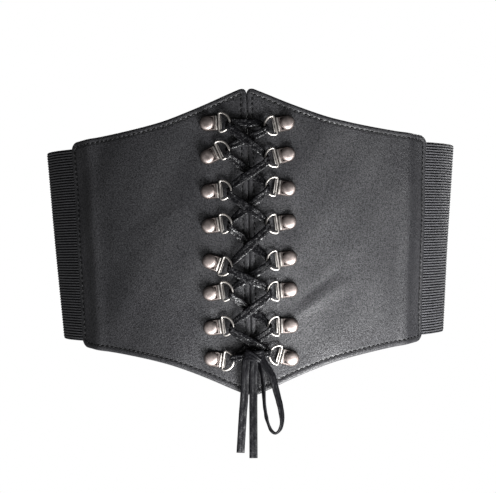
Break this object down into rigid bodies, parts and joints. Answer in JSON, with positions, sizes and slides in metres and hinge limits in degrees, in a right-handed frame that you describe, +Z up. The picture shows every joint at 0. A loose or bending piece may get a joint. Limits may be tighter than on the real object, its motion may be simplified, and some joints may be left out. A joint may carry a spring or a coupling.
{
  "type": "corset belt",
  "caption": "Wide pointed waist belt with two front panels laced together over D-rings, and an elastic band round the back.",
  "frame": {"origin": "the middle of the waist opening, half way up the elastic band", "axes": "+Z up as worn, -Y to the front where the lacing is, +X to the right as seen from the front"},
  "size_m": [0.2882, 0.1943, 0.2378],
  "materials": {
    "leather": "black grained imitation leather, half gloss",
    "elastic": "black ribbed woven elastic, matt",
    "metal": "pewter-coloured plated metal, polished",
    "lace": "black flat lace of imitation leather, half gloss"
  },
  "bodies": {
    "root": {"panel_left": "leather", "panel_right": "leather", "elastic_left": "elastic", "elastic_right": "elastic", "closure_strip": "leather", "rivet_left_1": "metal", "clip_left_1": "metal", "d_ring_left_1": "metal", "rivet_left_2": "metal", "clip_left_2": "metal", "d_ring_left_2": "metal", "rivet_left_3": "metal", "clip_left_3": "metal", "d_ring_left_3": "metal", "rivet_left_4": "metal", "clip_left_4": "metal", "d_ring_left_4": "metal", "rivet_left_5": "metal", "clip_left_5": "metal", "d_ring_left_5": "metal", "rivet_left_6": "metal", "clip_left_6": "metal", "d_ring_left_6": "metal", "rivet_left_7": "metal", "clip_left_7": "metal", "d_ring_left_7": "metal", "rivet_left_8": "metal", "clip_left_8": "metal", "d_ring_left_8": "metal", "rivet_right_1": "metal", "clip_right_1": "metal", "d_ring_right_1": "metal", "rivet_right_2": "metal", "clip_right_2": "metal", "d_ring_right_2": "metal", "rivet_right_3": "metal", "clip_right_3": "metal", "d_ring_right_3": "metal", "rivet_right_4": "metal", "clip_right_4": "metal", "d_ring_right_4": "metal", "rivet_right_5": "metal", "clip_right_5": "metal", "d_ring_right_5": "metal", "rivet_right_6": "metal", "clip_right_6": "metal", "d_ring_right_6": "metal", "rivet_right_7": "metal", "clip_right_7": "metal", "d_ring_right_7": "metal", "rivet_right_8": "metal", "clip_right_8": "metal", "d_ring_right_8": "metal", "lace_over": "lace", "lace_under": "lace", "lace_knot": "lace", "lace_loop": "lace", "lace_tail_left": "lace", "lace_tail_right": "lace"}
  },
  "joints": []
}
